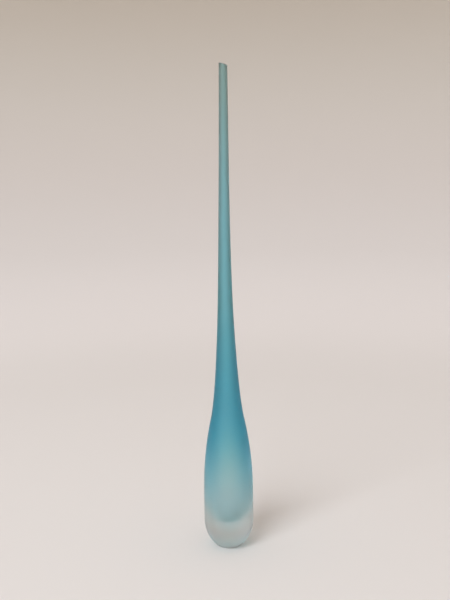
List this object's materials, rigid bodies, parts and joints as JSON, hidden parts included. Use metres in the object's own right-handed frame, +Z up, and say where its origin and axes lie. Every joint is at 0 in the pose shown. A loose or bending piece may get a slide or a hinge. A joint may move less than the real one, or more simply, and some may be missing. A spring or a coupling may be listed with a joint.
{
  "type": "stem vase",
  "caption": "Tall slender cased-glass stem vase: a long drawn neck with a slanted cut mouth over a rounded body and a heavy clear base.",
  "frame": {"origin": "middle of the flat ground foot, on the surface that the vase stands on", "axes": "+Z up along the vase, +X towards the low side of the slanted mouth"},
  "size_m": [0.0676, 0.0676, 0.65],
  "materials": {
    "clear_glass": "clear glass with a fine acid-etched satin surface",
    "blue_glass": "transparent aqua blue glass, fire-polished on the inside"
  },
  "bodies": {
    "root": {"clear_casing": "clear_glass", "blue_inner_layer": "blue_glass"}
  },
  "joints": []
}
